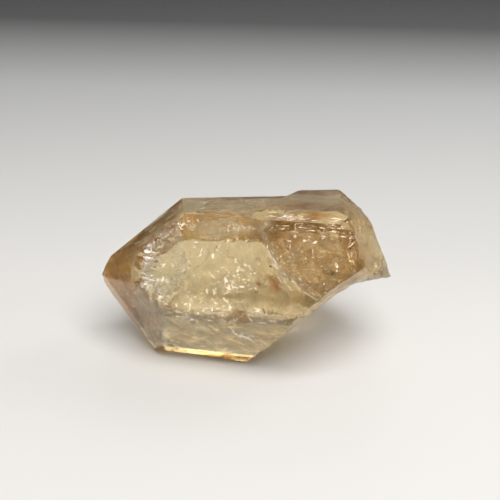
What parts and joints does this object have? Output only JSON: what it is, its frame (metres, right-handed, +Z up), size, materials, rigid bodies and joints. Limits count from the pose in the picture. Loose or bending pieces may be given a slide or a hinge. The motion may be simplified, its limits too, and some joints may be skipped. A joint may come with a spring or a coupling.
{
  "type": "citrine crystal point",
  "caption": "Single clear brown-yellow quartz crystal point with a broken base, lying on one of its prism faces.",
  "frame": {"origin": "middle of the footprint of the bounding box, on the surface that the crystal lies on", "axes": "+X along the crystal's long axis from the tip to the broken base, -Y the front, +Z up"},
  "size_m": [0.0514, 0.0308, 0.0296],
  "materials": {
    "citrine": "clear, with glossy natural faces, frosted broken faces and pale fractures inside"
  },
  "bodies": {
    "root": {"citrine_point": "citrine"}
  },
  "joints": []
}
